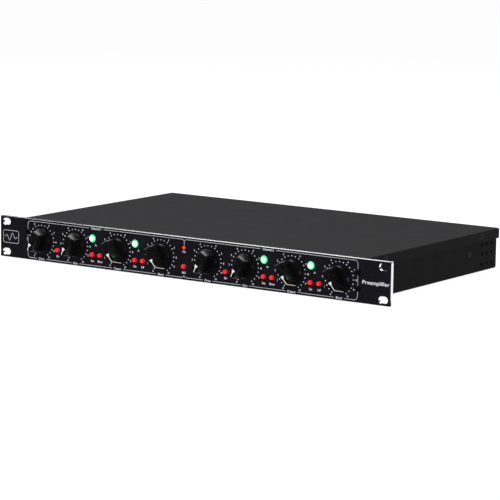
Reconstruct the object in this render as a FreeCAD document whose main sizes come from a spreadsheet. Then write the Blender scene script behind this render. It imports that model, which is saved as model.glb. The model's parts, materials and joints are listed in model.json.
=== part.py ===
import FreeCAD, Part
import Sketcher
import math
import os
from types import SimpleNamespace

# A two-channel microphone preamp for a 19-inch rack, one rack unit high.
# Frame, in millimetres: origin at the centre of the rack-slot pattern on the panel's rear face,
# +X to the right seen from the front, +Y to the rear, +Z up. The front panel lies at Y -3 to 0.

doc = FreeCAD.newDocument("rack_preamp")
sheet = doc.addObject("Spreadsheet::Sheet", "dims")

CELLS = {
    # front panel
    "panel_width": 482.6, "panel_height": 43.66, "panel_thick": 3.0, "panel_corner": 1.5, "panel_edge": 0.5,
    "slot_pitch_x": 465.1, "slot_pitch_z": 31.75, "slot_length": 10.4, "slot_height": 7.2,
    "panel_screw_x": 204.0, "panel_screw_z": 8.0,
    # clearances
    "fit": 0.05, "play": 0.2,
    # case
    "steel": 1.2, "case_gap": 0.1, "cover_width": 423.4, "cover_top": 21.7, "cover_start": 0.2,
    "cover_end": 257.7, "cover_flange": 10.3, "cover_lip": 6.0, "bend_radius": 2.0,
    "tray_drop": 20.0, "tray_top": 20.2, "tray_end": 254.6, "front_flange": 13.2, "floor_lip": 4.0,
    "rear_flange": 12.2, "rear_thick": 1.5, "rear_screw_x": 203.0, "rear_screw_z": 9.0,
    "vent_radius": 1.7, "vent_first_y": 225.0, "vent_step_y": 10.0, "vent_step_z": 10.0, "vent_mid_z": -2.2,
    "side_screw_z": 17.0, "side_screw_front": 35.0, "side_screw_rear": 222.0,
    "sink_screw_y": 200.0, "sink_screw_z": 0.6,
    # screws, size M3
    "thread_radius": 1.5, "tapped_radius": 1.55, "free_radius": 1.7, "head_radius": 2.85, "head_height": 1.7,
    "head_edge": 0.6, "head_top_radius": 1.77, "socket_flats": 2.0, "socket_depth": 1.0,
    "sink_head_radius": 2.75, "sink_head_height": 1.25, "sink_rim": 0.3, "sink_taper": 0.6, "sink_hole": 2.8,
    "panel_screw_length": 8.0, "case_screw_length": 6.0, "wall_screw_length": 4.0,
    "board_screw_length": 5.0,
    # control field of the front panel
    "field_centre": -1.5, "first_knob": -185.4, "channel_pitch": 213.2,
    "gain_step": 45.0, "output_step": 100.0, "blend_step": 155.0,
    "tx_step": 21.8, "set_step": 67.4, "even_step": 77.4, "ge_step": 122.3, "hf_step": 132.3,
    "button_z": -7.7, "lamp_z": 9.0, "power_lamp_z": 11.2,
    # pointer knob
    "skirt_radius": 12.6, "skirt_gap": 0.8, "skirt_height": 2.0, "skirt_face": 3.6, "skirt_face_radius": 11.2,
    "skirt_crown": 4.0,
    "knob_height": 18.3, "wing_root": 2.6, "tail_root": 12.0, "tail_root_half": 5.2, "tail_top": 11.4,
    "tail_top_half": 4.2, "shoulder_root": 9.4, "shoulder_root_half": 4.8, "shoulder_top": 7.6,
    "shoulder_top_half": 3.6, "nose_root": 14.2, "nose_root_half": 1.3, "nose_top": 10.6,
    "nose_top_half": 1.3, "flank_radius": 110.0, "wing_edge": 0.8,
    "nut_recess_radius": 8.0, "nut_recess_depth": 1.8, "bush_recess_radius": 4.4, "bush_recess_depth": 2.8,
    "bore_radius": 3.05, "bore_depth": 11.4, "bore_flat": 1.55,
    # potentiometer
    "shaft_radius": 3.0, "shaft_flat": 1.5, "shaft_out": 11.8, "shaft_in": 5.0, "flat_start": 3.4,
    "pot_size": 17.0, "pot_start": 0.3, "pot_depth": 8.0, "bush_radius": 3.9, "bush_out": 3.0,
    "pot_bore": 3.06, "pot_bore_in": 5.6, "nut_flats": 11.0, "nut_height": 2.0, "bush_hole": 4.0,
    # push button and its switch
    "cap_radius": 2.15, "cap_top": 2.6, "cap_back": 1.5, "cap_round": 0.5, "cap_draft": 0.1,
    "button_hole": 2.45, "stem_radius": 1.6, "stem_back": 7.0, "switch_front": 4.6, "switch_size": 8.4,
    "stem_hole": 1.7, "stem_hole_back": 9.6,
    # lamps
    "lamp_radius": 2.5, "lamp_straight": 0.2, "lamp_back": 5.0, "lamp_collar": 2.9, "collar_thick": 1.0,
    "lamp_hole": 2.56, "small_lamp_radius": 1.5, "small_lamp_collar": 1.8,
    "lead_size": 0.5, "lead_step": 1.27,
    # circuit boards
    "board_thick": 1.6, "front_board_y": 8.4, "front_board_half": 200.0, "front_board_rise": 17.0,
    "main_left": -202.0, "main_right": 95.0, "main_front": 40.0, "main_rear": 232.0, "main_z": -14.0,
    "standoff_radius": 3.0, "fixing_inset": 8.0,
    # ribbon cable
    "ribbon_width": 26.0, "ribbon_thick": 0.9, "ribbon_z": 1.0, "ribbon_bend": 5.0, "ribbon_drop_y": 60.0,
    "header_width": 30.0, "header_depth": 8.5, "front_header_length": 6.5, "main_header_height": 7.0,
    # audio transformers and capacitors on the main board
    "can_size": 28.0, "can_height": 26.0, "can_round": 3.0, "can_y": 206.5,
    "capacitor_radius": 6.3, "capacitor_height": 20.0, "capacitor_edge": 0.6, "groove_depth": 0.7,
    "groove_height": 2.6, "capacitor_x": -120.0, "capacitor_y": 120.0, "capacitor_step_x": 24.0,
    "capacitor_step_y": 30.0, "supply_step": 20.0,
    # power supply
    "sink_thick": 3.0, "sink_half": 16.0, "sink_rise": 15.0, "sink_fin_length": 8.0, "sink_fin_thick": 1.6,
    "sink_fin_start": 4.5, "sink_fin_step": 6.8, "regulator_thick": 4.4, "regulator_width": 9.2,
    "regulator_height": 15.0, "regulator_step": 10.7, "regulator_inset": 0.5, "regulator_lift": 2.0,
    "toroid_x": 150.0, "toroid_y": 140.0, "toroid_radius": 38.0, "toroid_bore": 12.0, "toroid_height": 28.0,
    "toroid_round": 7.0, "toroid_lift": 0.6, "stud_radius": 3.0, "stud_length": 35.0, "stud_foot_radius": 6.0,
    "washer_radius": 18.0, "washer_thick": 1.2, "stud_nut_flats": 10.0, "stud_nut_height": 4.0,
    # sockets of the rear panel
    "rear_row_z": -1.2, "first_socket": -175.0, "socket_step": 35.0, "socket_pitch": 100.0,
    "socket_half_x": 13.0, "socket_half_z": 15.5, "socket_corner": 3.0, "rear_flange_thick": 2.0,
    "barrel_radius": 11.8, "barrel_hole": 12.0, "barrel_depth": 21.6, "plug_ring_inner": 7.9,
    "plug_ring_outer": 9.6, "plug_ring_depth": 15.0, "plug_cavity": 9.3, "plug_cavity_depth": 14.5,
    "pin_radius": 1.2, "pin_spread": 3.8, "pin_out": 13.0, "pin_tail": 6.0, "sleeve_radius": 1.25,
    "sleeve_bore": 0.8, "sleeve_solid": 10.0, "contact_hole": 1.3,
    "socket_screw_x": 9.5, "socket_screw_z": 12.0,
    "latch_half": 4.0, "latch_low": 10.0, "latch_high": 13.2, "latch_out": 1.5, "latch_in": 3.0,
    "latch_travel": 1.2, "latch_play": 0.2, "latch_round": 0.8,
    # mains inlet and switch
    "inlet_x": 172.0, "inlet_half_x": 25.0, "inlet_body_half": 13.5, "inlet_rim": 2.0,
    "inlet_depth": 22.6,
    "plug_half_x": 12.2, "plug_low": -3.9, "plug_high": 12.3, "plug_depth": 14.0, "blade_step": 7.0,
    "blade_mid_z": 4.2, "blade_rise": 2.0, "blade_half_x": 1.0, "blade_half_z": 2.0, "blade_out": 11.0,
    "blade_tail": 6.0, "blade_play": 0.05, "drawer_half": 10.4, "drawer_low": -12.4, "drawer_high": -5.6,
    "drawer_depth": 17.6, "drawer_out": 1.2, "grip_out": 2.4, "grip_half_x": 3.0, "grip_half_z": 1.0,
    "drawer_play": 0.1, "inlet_screw_x": 20.0,
    "switch_x": 128.0, "bezel_half_x": 7.5, "bezel_half_z": 11.0, "bezel_thick": 1.5, "frame_half_x": 6.4,
    "frame_half_z": 9.9, "frame_depth": 14.6, "well_half_x": 5.2, "well_half_z": 8.6, "well_depth": 10.6,
    "rocker_half_x": 5.0, "rocker_half_z": 7.4, "rocker_tip": 5.0, "rocker_waist": 3.4, "rocker_foot": 4.0,
    "rocker_foot_half": 3.0, "rocker_shoulder": 1.0, "pivot_radius": 1.0, "pivot_hole": 1.06,
    "pivot_y": 251.0, "pivot_half": 5.9, "rocker_tilt": 9.0,
}

for row, (alias, number) in enumerate(CELLS.items(), start=1):
    sheet.set(f"A{row}", alias)
    sheet.set(f"B{row}", str(number))
    sheet.setAlias(f"B{row}", alias)
doc.recompute()


class Size:
    """A number together with the spreadsheet formula that gives it."""

    def __init__(self, value, text):
        self.value = value
        self.text = text

    def __add__(self, other):
        return Size(self.value + value_of(other), f"({self.text} + {text_of(other)})")

    def __sub__(self, other):
        return Size(self.value - value_of(other), f"({self.text} - {text_of(other)})")

    def __mul__(self, other):
        return Size(self.value * value_of(other), f"({self.text} * {text_of(other)})")

    def __truediv__(self, other):
        return Size(self.value / value_of(other), f"({self.text} / {text_of(other)})")

    def __neg__(self):
        return Size(-self.value, f"(-1 * {self.text})")


def value_of(size):
    return size.value if isinstance(size, Size) else float(size)


def text_of(size):
    return size.text if isinstance(size, Size) else f"{float(size):.6f}"


d = SimpleNamespace(**{alias: Size(number, f"dims.{alias}") for alias, number in CELLS.items()})


def bind(item, target, size):
    """Tie a property or a constraint of item to the spreadsheet."""
    item.setExpression(target, text_of(size))


def move(item, x, y, z, turn=None):
    """Put item at (x, y, z), with an optional turn about its own origin."""
    item.Placement = FreeCAD.Placement(FreeCAD.Vector(), turn or FreeCAD.Rotation())
    for axis, size in zip("xyz", (x, y, z)):
        bind(item, f"Placement.Base.{axis}", size)
    return item


# Turns that carry a piece's own +Z to the front, rear, right and left.
X_AXIS = FreeCAD.Vector(1, 0, 0)
Y_AXIS = FreeCAD.Vector(0, 1, 0)
Z_AXIS = FreeCAD.Vector(0, 0, 1)
TO_FRONT = FreeCAD.Rotation(X_AXIS, 90)
TO_REAR = FreeCAD.Rotation(X_AXIS, -90)
TO_RIGHT = FreeCAD.Rotation(Y_AXIS, 90)
TO_LEFT = FreeCAD.Rotation(Y_AXIS, -90)

parts = []


def keep(item, label):
    """Name item as a finished sub-part of the preamp."""
    item.Label = label
    parts.append(item)
    return item


# ---- Part primitives -------------------------------------------------------------------------

def block(x_range, y_range, z_range):
    """A box between three pairs of limits."""
    item = doc.addObject("Part::Box", "Block")
    for target, (low, high) in zip(("Length", "Width", "Height"), (x_range, y_range, z_range)):
        bind(item, target, Size(value_of(high), text_of(high)) - low)
    return move(item, x_range[0], y_range[0], z_range[0])


def rod(radius, length, x=0, y=0, z=0, turn=None):
    """A cylinder that starts at (x, y, z) and runs along its own +Z."""
    item = doc.addObject("Part::Cylinder", "Rod")
    bind(item, "Radius", radius)
    bind(item, "Height", length)
    return move(item, x, y, z, turn)


def hexagon(flats, height, x=0, y=0, z=0):
    """A hexagonal prism, its width across flats given."""
    item = doc.addObject("Part::Prism", "Hexagon")
    item.Polygon = 6
    bind(item, "Circumradius", flats / math.sqrt(3))
    bind(item, "Height", height)
    return move(item, x, y, z)


def fused(*items):
    whole = doc.addObject("Part::MultiFuse", "Fused")
    whole.Shapes = list(items)
    return whole


def cut(base, *tools):
    whole = doc.addObject("Part::Cut", "Cut")
    whole.Base = base
    whole.Tool = tools[0] if len(tools) == 1 else fused(*tools)
    return whole


def group(*items):
    """Separate solids that share one node."""
    whole = doc.addObject("Part::Compound", "Group")
    whole.Links = list(items)
    return whole


def copies(item, places):
    """The same piece at each place (x, y, z, turn), as separate solids."""
    links = []
    for x, y, z, turn in places:
        link = doc.addObject("App::Link", "Copy")
        link.LinkedObject = item
        links.append(move(link, x, y, z, turn))
    return group(*links)


# ---- PartDesign bodies -----------------------------------------------------------------------

def new_body(name):
    return doc.addObject("PartDesign::Body", name)


def sketch_on(body, role, lift=0):
    """An empty sketch on one of the body's own origin planes, lifted along the plane's normal."""
    flat = body.newObject("Sketcher::SketchObject", "Sketch")
    plane = [item for item in body.Origin.OriginFeatures if item.Role == role][0]
    flat.AttachmentSupport = [(plane, "")]
    flat.MapMode = "FlatFace"
    bind(flat, "AttachmentOffset.Base.z", lift)
    return flat


def fix(flat, kind, size, *where):
    """Add a dimension to a sketch and tie it to the spreadsheet."""
    number = flat.addConstraint(Sketcher.Constraint(kind, *where, value_of(size)))
    if isinstance(size, Size):
        bind(flat, f"Constraints[{number}]", size)


def fix_point(flat, edge, end, x, y):
    fix(flat, "DistanceX", x, -1, 1, edge, end)
    fix(flat, "DistanceY", y, -1, 1, edge, end)


def draw_circle(flat, x, y, radius):
    centre = FreeCAD.Vector(value_of(x), value_of(y), 0)
    edge = flat.addGeometry(Part.Circle(centre, Z_AXIS, value_of(radius)))
    fix(flat, "Radius", radius, edge)
    fix_point(flat, edge, 3, x, y)


def hollow_arc(start, end, radius):
    """The arc of a hollow side: it bends into an outline that is drawn counter-clockwise."""
    half = (end - start) * 0.5
    inward = FreeCAD.Vector(-half.y, half.x, 0).normalize()
    sag = radius - math.sqrt(radius * radius - half.Length * half.Length)
    return Part.Arc(start, start + half + inward * sag, end)


def draw_outline(flat, corners, hollows=None):
    """A closed outline through the corners, counter-clockwise; hollows gives an edge's radius."""
    hollows = hollows or {}
    points = [FreeCAD.Vector(value_of(x), value_of(y), 0) for x, y in corners]
    edges = []
    for index, start in enumerate(points):
        end = points[(index + 1) % len(points)]
        if index in hollows:
            edge = flat.addGeometry(hollow_arc(start, end, value_of(hollows[index])))
            fix(flat, "Radius", hollows[index], edge)
            edges.append((edge, 2, 1))
        else:
            edges.append((flat.addGeometry(Part.LineSegment(start, end)), 1, 2))
    for (edge, _, last), (following, first, _) in zip(edges, edges[1:] + edges[:1]):
        flat.addConstraint(Sketcher.Constraint("Coincident", edge, last, following, first))
    for (edge, first, _), (x, y) in zip(edges, corners):
        fix_point(flat, edge, first, x, y)


def draw_rectangle(flat, low_x, high_x, low_y, high_y):
    draw_outline(flat, [(low_x, low_y), (high_x, low_y), (high_x, high_y), (low_x, high_y)])


def draw_slot(flat, x, y, length, height):
    """A slot along x with round ends."""
    radius = height / 2
    reach = (length - height) / 2
    left = FreeCAD.Vector((x - reach).value, value_of(y), 0)
    right = FreeCAD.Vector((x + reach).value, value_of(y), 0)
    up = FreeCAD.Vector(0, radius.value, 0)
    cap_left = Part.ArcOfCircle(Part.Circle(left, Z_AXIS, radius.value), math.pi / 2, 3 * math.pi / 2)
    cap_right = Part.ArcOfCircle(Part.Circle(right, Z_AXIS, radius.value), -math.pi / 2, math.pi / 2)
    one = flat.addGeometry(cap_left)
    low = flat.addGeometry(Part.LineSegment(left - up, right - up))
    two = flat.addGeometry(cap_right)
    high = flat.addGeometry(Part.LineSegment(right + up, left + up))
    loop = (one, low, two, high)
    for first, second in zip(loop, loop[1:] + loop[:1]):
        flat.addConstraint(Sketcher.Constraint("Tangent", first, 2, second, 1))
    fix(flat, "Radius", radius, one)
    fix_point(flat, one, 3, x - reach, y)
    fix_point(flat, two, 3, x + reach, y)


def pad(body, flat, length, back=False):
    feature = body.newObject("PartDesign::Pad", "Pad")
    feature.Profile = flat
    feature.Reversed = back
    bind(feature, "Length", length)
    return feature


def pocket(body, flat, depth, back=False, both=False):
    """Cut the sketch into the body, and make sure that it did cut."""
    doc.recompute()
    before = body.Shape.Volume
    feature = body.newObject("PartDesign::Pocket", "Pocket")
    feature.Profile = flat
    feature.Reversed = back
    feature.SideType = "Symmetric" if both else "One side"
    bind(feature, "Length", depth)
    doc.recompute()
    if body.Shape.Volume > before - 0.01:
        raise RuntimeError(f"{body.Name}: a pocket cuts nothing")
    return feature


def revolve(body, flat):
    feature = body.newObject("PartDesign::Revolution", "Revolution")
    feature.Profile = flat
    feature.ReferenceAxis = (flat, ["V_Axis"])
    feature.Angle = 360
    return feature


def edges_of(feature, wanted):
    """Names of the feature's edges whose centre passes the test."""
    doc.recompute()
    edges = enumerate(feature.Shape.Edges, start=1)
    return [f"Edge{number}" for number, edge in edges if wanted(edge)]


def soften(body, kind, feature, wanted, size):
    """A fillet or a chamfer on the wanted edges of the body's last feature."""
    names = edges_of(feature, wanted)
    if not names:
        raise RuntimeError(f"{body.Name}: no edge to soften")
    change = body.newObject(f"PartDesign::{kind}", kind)
    change.Base = (feature, names)
    bind(change, "Size" if kind == "Chamfer" else "Radius", size)
    return change


def near(one, two):
    return abs(one - value_of(two)) < 0.01


# ---- places on the front panel ---------------------------------------------------------------

KNOB_STEPS = {"drive": 0, "gain": d.gain_step, "output": d.output_step, "blend": d.blend_step}
BUTTON_STEPS = {"tx": d.tx_step, "set": d.set_step, "even": d.even_step, "ge": d.ge_step, "hf": d.hf_step}
LAMP_STEPS = (d.set_step, d.ge_step)
# At rest drive and gain point to 0 on their dials, and output and blend to 10.
REST_ANGLE = {"drive": -150, "gain": -150, "output": 150, "blend": 150}


def channel_x(channel, step):
    return d.first_knob + d.channel_pitch * (channel - 1) + step


knob_places = {}
button_places = {}
lamp_places = []
for channel in (1, 2):
    for name, step in KNOB_STEPS.items():
        knob_places[f"{name}_{channel}"] = (channel_x(channel, step), REST_ANGLE[name])
    for name, step in BUTTON_STEPS.items():
        button_places[f"{name}_{channel}"] = channel_x(channel, step)
    lamp_places += [channel_x(channel, step) for step in LAMP_STEPS]
button_places["centre"] = d.field_centre

SIDES = (-1, 1)
OVER = 1.0  # how far a cutting tool runs past the face that it cuts
CORNERS = [(side, level) for side in SIDES for level in SIDES]

# Shared levels
panel_front = -d.panel_thick
floor_top = d.steel - d.tray_drop
cover_half = d.cover_width / 2
tray_half = cover_half - d.steel - d.case_gap
inner_half = tray_half - d.steel
rear_inside = d.tray_end - d.rear_thick
rear_out = d.tray_end + d.rear_flange_thick


# ---- front panel -----------------------------------------------------------------------------

def front_panel():
    """Machined plate; sketches on the XZ plane, whose normal points to the front."""
    body = new_body("FrontPanel")
    flat = sketch_on(body, "XZ_Plane")
    draw_rectangle(flat, -d.panel_width / 2, d.panel_width / 2, -d.panel_height / 2, d.panel_height / 2)
    plate = pad(body, flat, d.panel_thick)
    plate = soften(body, "Fillet", plate, lambda edge: near(edge.Length, d.panel_thick), d.panel_corner)
    plate = soften(body, "Chamfer", plate, lambda edge: near(edge.BoundBox.YMax, panel_front), d.panel_edge)

    holes = sketch_on(body, "XZ_Plane")
    for side, level in CORNERS:
        slot_x = d.slot_pitch_x * (side / 2)
        slot_z = d.slot_pitch_z * (level / 2)
        draw_slot(holes, slot_x, slot_z, d.slot_length, d.slot_height)
        draw_circle(holes, d.panel_screw_x * side, d.panel_screw_z * level, d.free_radius)
    for x, _ in knob_places.values():
        draw_circle(holes, x, 0, d.bush_hole)
    for x in button_places.values():
        draw_circle(holes, x, d.button_z, d.button_hole)
    for x in lamp_places:
        draw_circle(holes, x, d.lamp_z, d.lamp_hole)
    draw_circle(holes, d.field_centre, d.power_lamp_z, d.small_lamp_radius + d.fit)
    pocket(body, holes, d.panel_thick * 3, both=True)
    keep(body, "front_panel")


# ---- case ------------------------------------------------------------------------------------

def base_tray():
    """Folded tray: floor, two sides, flanges at the front and the rear."""
    body = new_body("BaseTray")
    flat = sketch_on(body, "XZ_Plane")
    draw_outline(flat, [
        (-tray_half, -d.tray_drop), (tray_half, -d.tray_drop), (tray_half, d.tray_top),
        (inner_half, d.tray_top), (inner_half, floor_top), (-inner_half, floor_top),
        (-inner_half, d.tray_top), (-tray_half, d.tray_top),
    ])
    shell = pad(body, flat, d.tray_end, back=True)
    shell = soften(
        body, "Fillet", shell,
        lambda edge: near(edge.Length, d.tray_end) and near(edge.BoundBox.ZMax, -d.tray_drop), d.bend_radius,
    )
    front = sketch_on(body, "XZ_Plane")
    for side in SIDES:
        inner = (tray_half - d.front_flange - d.steel) * side
        outer = (tray_half - d.steel / 2) * side
        low, high = (inner, outer) if side > 0 else (outer, inner)
        draw_rectangle(front, low, high, floor_top - d.steel / 2, d.tray_top)
    pad(body, front, d.steel, back=True)
    lip = sketch_on(body, "XZ_Plane")
    lip_half = inner_half - d.front_flange
    draw_rectangle(lip, -lip_half, lip_half, floor_top - d.steel / 2, floor_top + d.floor_lip)
    pad(body, lip, d.steel, back=True)
    rear = sketch_on(body, "XZ_Plane", d.steel - rear_inside)
    for side in SIDES:
        inner = (inner_half - d.rear_flange) * side
        outer = (tray_half - d.steel / 2) * side
        low, high = (inner, outer) if side > 0 else (outer, inner)
        draw_rectangle(rear, low, high, floor_top - d.steel / 2, d.tray_top)
    pad(body, rear, d.steel, back=True)

    front_holes = sketch_on(body, "XZ_Plane")
    for side, level in CORNERS:
        draw_circle(front_holes, d.panel_screw_x * side, d.panel_screw_z * level, d.tapped_radius)
    pocket(body, front_holes, d.steel * 4, both=True)
    rear_holes = sketch_on(body, "XZ_Plane", -rear_inside)
    for side, level in CORNERS:
        draw_circle(rear_holes, d.rear_screw_x * side, d.rear_screw_z * level, d.tapped_radius)
    pocket(body, rear_holes, d.steel * 3, both=True)
    side_holes = sketch_on(body, "YZ_Plane")
    for y in (d.side_screw_front, d.side_screw_rear):
        draw_circle(side_holes, y, d.side_screw_z, d.tapped_radius)
    for column in range(3):
        for level in SIDES + (0,):
            y = d.vent_first_y + d.vent_step_y * column
            draw_circle(side_holes, y, d.vent_mid_z + d.vent_step_z * level, d.vent_radius)
    pocket(body, side_holes, d.cover_width * 2, both=True)
    wall_hole = sketch_on(body, "YZ_Plane", tray_half)
    draw_circle(wall_hole, d.sink_screw_y, d.sink_screw_z, d.sink_hole)
    pocket(body, wall_hole, d.steel * 2, both=True)
    floor_holes = sketch_on(body, "XY_Plane", floor_top)
    draw_circle(floor_holes, d.toroid_x, d.toroid_y, d.stud_foot_radius + d.fit)
    for x, y in fixing_places():
        draw_circle(floor_holes, x, y, d.tapped_radius)
    pocket(body, floor_holes, d.steel * 3, both=True)
    keep(body, "base_tray")


def top_cover():
    """Folded lid: its side flanges lap over the tray, and a lip closes the rear gap."""
    body = new_body("TopCover")
    flange_bottom = d.cover_top - d.cover_flange
    inside_half = cover_half - d.steel
    inside_top = d.cover_top - d.steel
    flat = sketch_on(body, "XZ_Plane", -d.cover_start)
    draw_outline(flat, [
        (-cover_half, flange_bottom), (-inside_half, flange_bottom), (-inside_half, inside_top),
        (inside_half, inside_top), (inside_half, flange_bottom), (cover_half, flange_bottom),
        (cover_half, d.cover_top), (-cover_half, d.cover_top),
    ])
    length = d.cover_end - d.cover_start
    shell = pad(body, flat, length, back=True)
    shell = soften(
        body, "Fillet", shell,
        lambda edge: near(edge.Length, length) and near(edge.BoundBox.ZMin, d.cover_top), d.bend_radius,
    )
    lip = sketch_on(body, "XZ_Plane", -d.cover_end)
    draw_rectangle(lip, -inside_half, inside_half, d.cover_top - d.cover_lip, inside_top + d.steel / 2)
    pad(body, lip, d.steel)
    holes = sketch_on(body, "YZ_Plane")
    for y in (d.side_screw_front, d.side_screw_rear):
        draw_circle(holes, y, d.side_screw_z, d.sink_hole)
    pocket(body, holes, d.cover_width * 2, both=True)
    keep(body, "top_cover")


def rear_panel():
    """Plate between the tray's sides, cut out for the sockets, the inlet and the switch."""
    body = new_body("RearPanel")
    half = inner_half - d.play
    flat = sketch_on(body, "XZ_Plane", -d.tray_end)
    draw_rectangle(flat, -half, half, floor_top + d.play, d.tray_top - d.play / 2)
    pad(body, flat, d.rear_thick)
    holes = sketch_on(body, "XZ_Plane", -d.tray_end)
    for x in input_places + output_places:
        draw_circle(holes, x, d.rear_row_z, d.barrel_hole)
        for side in SIDES:
            screw_z = d.rear_row_z - d.socket_screw_z * side
            draw_circle(holes, x + d.socket_screw_x * side, screw_z, d.tapped_radius)
    for side, level in CORNERS:
        draw_circle(holes, d.rear_screw_x * side, d.rear_screw_z * level, d.free_radius)
    for side in SIDES:
        draw_circle(holes, d.inlet_x + d.inlet_screw_x * side, d.rear_row_z, d.tapped_radius)
    half = d.inlet_body_half + d.play
    draw_rectangle(holes, d.inlet_x - half, d.inlet_x + half, d.rear_row_z - half, d.rear_row_z + half)
    wide = d.frame_half_x + d.play
    tall = d.frame_half_z + d.play
    draw_rectangle(holes, d.switch_x - wide, d.switch_x + wide, d.rear_row_z - tall, d.rear_row_z + tall)
    pocket(body, holes, d.rear_thick * 4, both=True)
    latches = sketch_on(body, "XZ_Plane", -d.tray_end)
    wide = d.latch_half + d.play * 2
    low = d.rear_row_z + d.latch_low - d.play * 2
    high = d.rear_row_z + d.latch_high + d.play * 2
    for x in input_places:
        draw_rectangle(latches, x - wide, x + wide, low, high)
    pocket(body, latches, d.rear_thick * 4, both=True)
    keep(body, "rear_panel")


# ---- screws ----------------------------------------------------------------------------------

def socket_screw(shank):
    """Button-head screw with a hexagon socket; the head stands on its own XY plane."""
    body = new_body("SocketScrew")
    flat = sketch_on(body, "XZ_Plane")
    draw_outline(flat, [
        (0, -shank), (d.thread_radius, -shank), (d.thread_radius, 0), (d.head_radius, 0),
        (d.head_radius, d.head_edge), (d.head_top_radius, d.head_height), (0, d.head_height),
    ])
    revolve(body, flat)
    return cut(body, hexagon(d.socket_flats, d.socket_depth * 2, 0, 0, d.head_height - d.socket_depth))


def sunk_screw(shank):
    """Flat-topped screw that sits in a sheet; its top lies on its own XY plane."""
    body = new_body("SunkScrew")
    flat = sketch_on(body, "XZ_Plane")
    draw_outline(flat, [
        (0, -shank), (d.thread_radius, -shank), (d.thread_radius, -d.sink_head_height),
        (d.sink_head_radius - d.sink_taper, -d.sink_head_height), (d.sink_head_radius, -d.sink_rim),
        (d.sink_head_radius, 0), (0, 0),
    ])
    revolve(body, flat)
    return cut(body, hexagon(d.socket_flats, d.socket_depth * 2, 0, 0, -d.socket_depth))


def screws():
    places = []
    for side, level in CORNERS:
        places.append((d.panel_screw_x * side, panel_front, d.panel_screw_z * level, TO_FRONT))
    keep(copies(socket_screw(d.panel_screw_length), places), "panel_screws")

    places = []
    for side, turn in ((1, TO_RIGHT), (-1, TO_LEFT)):
        for y in (d.side_screw_front, d.side_screw_rear):
            places.append((cover_half * side, y, d.side_screw_z, turn))
    lid_screws = copies(sunk_screw(d.case_screw_length), places)
    wall_place = (tray_half, d.sink_screw_y, d.sink_screw_z, TO_RIGHT)
    keep(group(lid_screws, copies(sunk_screw(d.wall_screw_length), [wall_place])), "side_screws")

    places = []
    for side, level in CORNERS:
        places.append((d.rear_screw_x * side, d.tray_end, d.rear_screw_z * level, TO_REAR))
    for x in input_places + output_places:
        for side in SIDES:
            z = d.rear_row_z - d.socket_screw_z * side
            places.append((x + d.socket_screw_x * side, rear_out, z, TO_REAR))
    for side in SIDES:
        places.append((d.inlet_x + d.inlet_screw_x * side, rear_out, d.rear_row_z, TO_REAR))
    keep(copies(socket_screw(d.case_screw_length), places), "rear_screws")


# ---- knobs and potentiometers ----------------------------------------------------------------

def wing_outline(flat, tail, tail_half, shoulder, shoulder_half, nose, nose_half):
    """Plan of the grip, its nose along +Y: square tail, hollow flanks, pointed nose."""
    draw_outline(flat, [
        (-tail_half, -tail), (tail_half, -tail), (shoulder_half, shoulder), (nose_half, nose),
        (-nose_half, nose), (-shoulder_half, shoulder),
    ], {1: d.flank_radius, 5: d.flank_radius})


def knob(name, x, angle):
    """Moulded pointer knob: round skirt, tall winged grip, stepped recess and flatted bore behind."""
    body = new_body("Knob")
    skirt = sketch_on(body, "XZ_Plane")
    draw_outline(skirt, [
        (0, d.skirt_gap), (d.skirt_radius, d.skirt_gap), (d.skirt_radius, d.skirt_height),
        (d.skirt_face_radius, d.skirt_face), (0, d.skirt_crown),
    ])
    revolve(body, skirt)
    root = sketch_on(body, "XY_Plane", d.wing_root)
    wing_outline(
        root, d.tail_root, d.tail_root_half, d.shoulder_root, d.shoulder_root_half,
        d.nose_root, d.nose_root_half,
    )
    top = sketch_on(body, "XY_Plane", d.knob_height)
    wing_outline(
        top, d.tail_top, d.tail_top_half, d.shoulder_top, d.shoulder_top_half, d.nose_top, d.nose_top_half,
    )
    wing = body.newObject("PartDesign::AdditiveLoft", "Wing")
    wing.Profile = root
    wing.Sections = [top]
    wing.Ruled = True
    soften(
        body, "Chamfer", wing,
        lambda edge: near(edge.BoundBox.ZMin, d.knob_height) and edge.Length > 3, d.wing_edge,
    )
    # The wide recess clears the nut and leaves the skirt whole.
    # The narrow one, which the grip covers, clears the bush.
    for radius, depth in (
        (d.nut_recess_radius, d.nut_recess_depth), (d.bush_recess_radius, d.bush_recess_depth),
    ):
        recess = sketch_on(body, "XY_Plane", d.skirt_gap)
        draw_circle(recess, 0, 0, radius)
        pocket(body, recess, depth, back=True)
    bore = sketch_on(body, "XY_Plane", d.skirt_gap)
    draw_flatted_circle(bore, d.bore_radius, d.bore_flat)
    pocket(body, bore, d.bore_depth, back=True)
    move(body, x, panel_front, 0, TO_FRONT * FreeCAD.Rotation(Z_AXIS, -angle))
    keep(body, f"knob_{name}")


def draw_flatted_circle(flat, radius, level):
    """The section of a flatted shaft, its flat on the +Y side at the given level."""
    reach = math.sqrt(radius.value ** 2 - level.value ** 2)
    start = math.atan2(level.value, -reach)
    end = math.atan2(level.value, reach) + 2 * math.pi
    arc = Part.ArcOfCircle(Part.Circle(FreeCAD.Vector(), Z_AXIS, radius.value), start, end)
    round_side = flat.addGeometry(arc)
    right = FreeCAD.Vector(reach, level.value, 0)
    left = FreeCAD.Vector(-reach, level.value, 0)
    flat_side = flat.addGeometry(Part.LineSegment(right, left))
    flat.addConstraint(Sketcher.Constraint("Coincident", round_side, 2, flat_side, 1))
    flat.addConstraint(Sketcher.Constraint("Coincident", flat_side, 2, round_side, 1))
    flat.addConstraint(Sketcher.Constraint("Horizontal", flat_side))
    fix(flat, "Radius", radius, round_side)
    fix_point(flat, round_side, 3, 0, 0)
    fix(flat, "DistanceY", level, -1, 1, flat_side, 1)


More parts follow.
